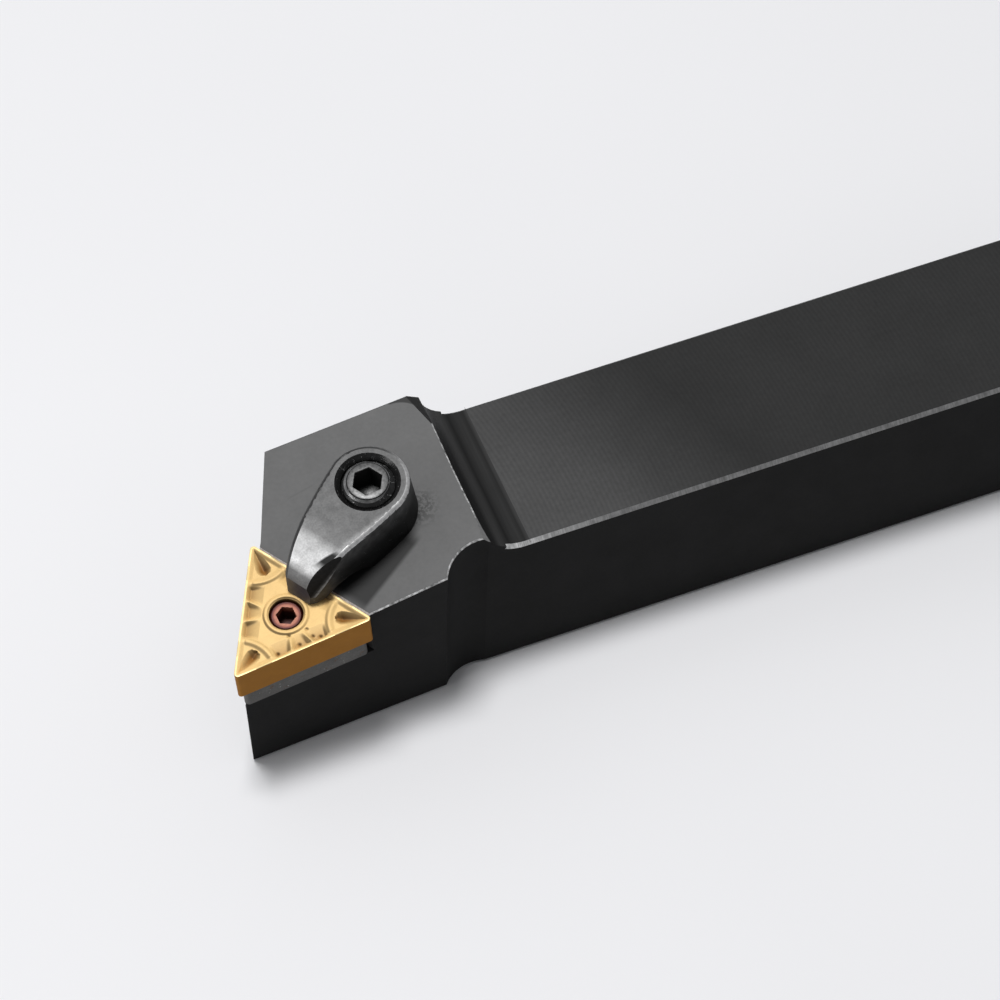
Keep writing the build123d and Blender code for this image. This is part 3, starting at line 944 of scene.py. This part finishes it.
def build_insert():
    """Insert with lands, chip breaker and bead on both faces, and a honed edge."""
    outline = rounded_triangle(LAND)
    heading = np.arctan2(outline[:, 1], outline[:, 0])
    hole = INSERT_HOLE * np.stack((np.cos(heading), np.sin(heading)), 1)

    def deck(rows, back):
        rings = []
        for share in np.linspace(0, 1, rows) ** ROW_CROWDING:
            flat = hole * (1 - share) + outline * share
            depth = chip_breaker(flat)
            rings.append(np.column_stack((flat, -INSERT_THICKNESS - depth if back else depth)))
        return rings

    def border(inset, height):
        flat = rounded_triangle(inset)
        return np.column_stack((flat, np.full(len(flat), height)))

    deck_coating = coating_finish("gold_deck", (223, 188, 127), 0.5, 0.2, 0.25)
    land_coating = coating_finish("gold_land", (246, 216, 152), 0.4, 0.3)
    flank_coating = flank_finish()
    front = deck(DECK_ROWS, False)
    back = deck(BACK_ROWS, True)[::-1]
    hone = HONE * (1 - sqrt(0.5))
    bottom = -INSERT_THICKNESS
    bands = [
        (deck_coating, front),
        (land_coating, [border(HONE, 0), border(hone, -hone), border(0, -HONE)]),
        (flank_coating, [border(0, -FLANK_RIM), border(0, bottom + FLANK_RIM), border(0, bottom + HONE)]),
        (land_coating, [border(hone, bottom + hone), border(HONE, bottom), back[0]]),
        (deck_coating, back[1:]),
    ]
    mesh = ring_mesh("insert_skin", bands, SEAT_MATRIX, True)
    add_piece("insert_skin", mesh, "holder", "insert")


# ---------------------------------------------------------------- clamp screw
SCREW_RADIUS = 3.0
SCREW_TOP = 6.4
SCREW_BOTTOM = -14.6
SCREW_END_RADIUS = 2.22
SCREW_END_CHAMFER = 0.55
SCREW_WAIST = (-1.6, 0.6)
SCREW_WAIST_RADIUS = 2.35
SOCKET_APOTHEM = 1.5
SOCKET_DEPTH = 3.6
SOCKET_FLARE = 0.05
SOCKET_FLOOR_SHARE = 0.98
SOCKET_CONE = 0.4
SOCKET_TIP_RADIUS = 0.02
FACE_BREAK = 0.03
PITCH = 1.0
THREAD_DEPTH = 0.6
THREAD_START = SCREW_TOP - 0.09
THREAD_END = SCREW_BOTTOM + 0.08
THREAD_ROW_STEP = 1 / 16

# The shares of the pitch that are flat at the thread's crest and at its root
CREST_SHARE = 1 / 8
ROOT_SHARE = 1 / 4
SCREW_COLUMNS = 96
TURNS = np.arange(SCREW_COLUMNS) * 2 * pi / SCREW_COLUMNS


def screw_ring(radius, height):
    """One ring of the screw, whose radius may change round it."""
    height = np.full(SCREW_COLUMNS, height)
    return np.stack((radius * np.cos(TURNS), radius * np.sin(TURNS), height), 1)


def thread_ring(height):
    """Ring through the thread: left-hand above the waist and right-hand below it."""
    hand = -1 if height > SCREW_WAIST[1] else 1
    phase = (height / PITCH - hand * TURNS / (2 * pi)) % 1
    from_crest = 1 - CREST_SHARE - np.abs(2 * phase - 1)
    fall = np.clip(from_crest / (1 - CREST_SHARE - ROOT_SHARE), 0, 1)
    radius = SCREW_RADIUS - THREAD_DEPTH * fall
    end = min(SCREW_TOP - height, height - SCREW_BOTTOM)
    slope = (SCREW_RADIUS - SCREW_END_RADIUS) / SCREW_END_CHAMFER
    radius = np.minimum(radius, SCREW_END_RADIUS + slope * end)
    beyond_waist = max(height - SCREW_WAIST[1], SCREW_WAIST[0] - height, 0)
    return screw_ring(np.minimum(radius, SCREW_WAIST_RADIUS + beyond_waist), height)


def build_screw():
    """Differential screw: opposite threads, a waist, and a hexagon socket in each end."""
    off_flat = TURNS - np.round(TURNS / (pi / 3)) * pi / 3
    hexagon = SOCKET_APOTHEM / np.cos(off_flat)
    mouth = hexagon + SOCKET_FLARE
    dark, bright, black = screw_dark_finish(), screw_face_finish(), oily_thread_finish()
    shoulder_highlight = screw_shoulder_finish()
    socket_top = [
        screw_ring(SOCKET_TIP_RADIUS, SCREW_TOP - SOCKET_DEPTH - SOCKET_CONE),
        screw_ring(SOCKET_APOTHEM * SOCKET_FLOOR_SHARE, SCREW_TOP - SOCKET_DEPTH),
        screw_ring(hexagon, SCREW_TOP - SOCKET_DEPTH),
        screw_ring(hexagon, SCREW_TOP - SOCKET_FLARE),
    ]
    face_top = [
        screw_ring(mouth, SCREW_TOP),
        screw_ring(SCREW_END_RADIUS - 2 * FACE_BREAK, SCREW_TOP),
        screw_ring(SCREW_END_RADIUS, SCREW_TOP - FACE_BREAK),
    ]
    heights = np.arange(THREAD_START, THREAD_END, -THREAD_ROW_STEP)
    face_bottom = [
        screw_ring(SCREW_END_RADIUS, SCREW_BOTTOM + FACE_BREAK),
        screw_ring(mouth, SCREW_BOTTOM),
    ]
    socket_bottom = [
        screw_ring(hexagon, SCREW_BOTTOM + SOCKET_FLARE),
        screw_ring(hexagon, SCREW_BOTTOM + SOCKET_DEPTH),
        screw_ring(SOCKET_TIP_RADIUS, SCREW_BOTTOM + SOCKET_DEPTH + SOCKET_CONE),
    ]
    bands = [
        (dark, socket_top),
        (bright, face_top),
        (black, [thread_ring(heights[0])]),
        # The first rings of the thread carry a painted highlight
        (shoulder_highlight, [thread_ring(height) for height in heights[1:4]]),
        (black, [thread_ring(height) for height in heights[4:]]),
        (bright, face_bottom),
        (dark, socket_bottom),
    ]
    mesh = ring_mesh("clamp_screw_skin", bands, SCREW_MATRIX, False)
    add_piece("clamp_screw_skin", mesh, "clamp_screw", "clamp_screw")


# ---------------------------------------------------------------- scene
HOLDER_FINISHES = {
    "head_top": head_top_finish(),
    "shank_top": shank_top_finish(),
    "ramp": ramp_finish(),
    "filed_edge": filed_finish(),
    "far_edge": far_edge_finish(),
    "wall_edge": wall_edge_finish(),
    "worn_edge": worn_finish(),
    "facet": facet_finish(),
    "pocket": pocket_finish(),
    "black_side": black_side_finish(),
}
CLAMP_FINISHES = {
    "top": clamp_top_finish(),
    "rim": clamp_rim_finish(),
    "side": clamp_side_finish(),
    "cheek": clamp_cheek_finish(),
    "front": clamp_front_finish(),
    "thread": oily_thread_finish(),
}
skin("holder_body", "holder", HOLDER_FINISHES, holder_zone)
skin("clamp", "clamp", CLAMP_FINISHES, clamp_zone)
build_insert()
build_screw()
for node_name, finish in (("lock_pin", pin_finish()), ("shim", shim_finish())):
    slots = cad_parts[node_name].material_slots
    for index in range(len(slots)):
        slots[index].material = finish

add_camera()
add_stage()
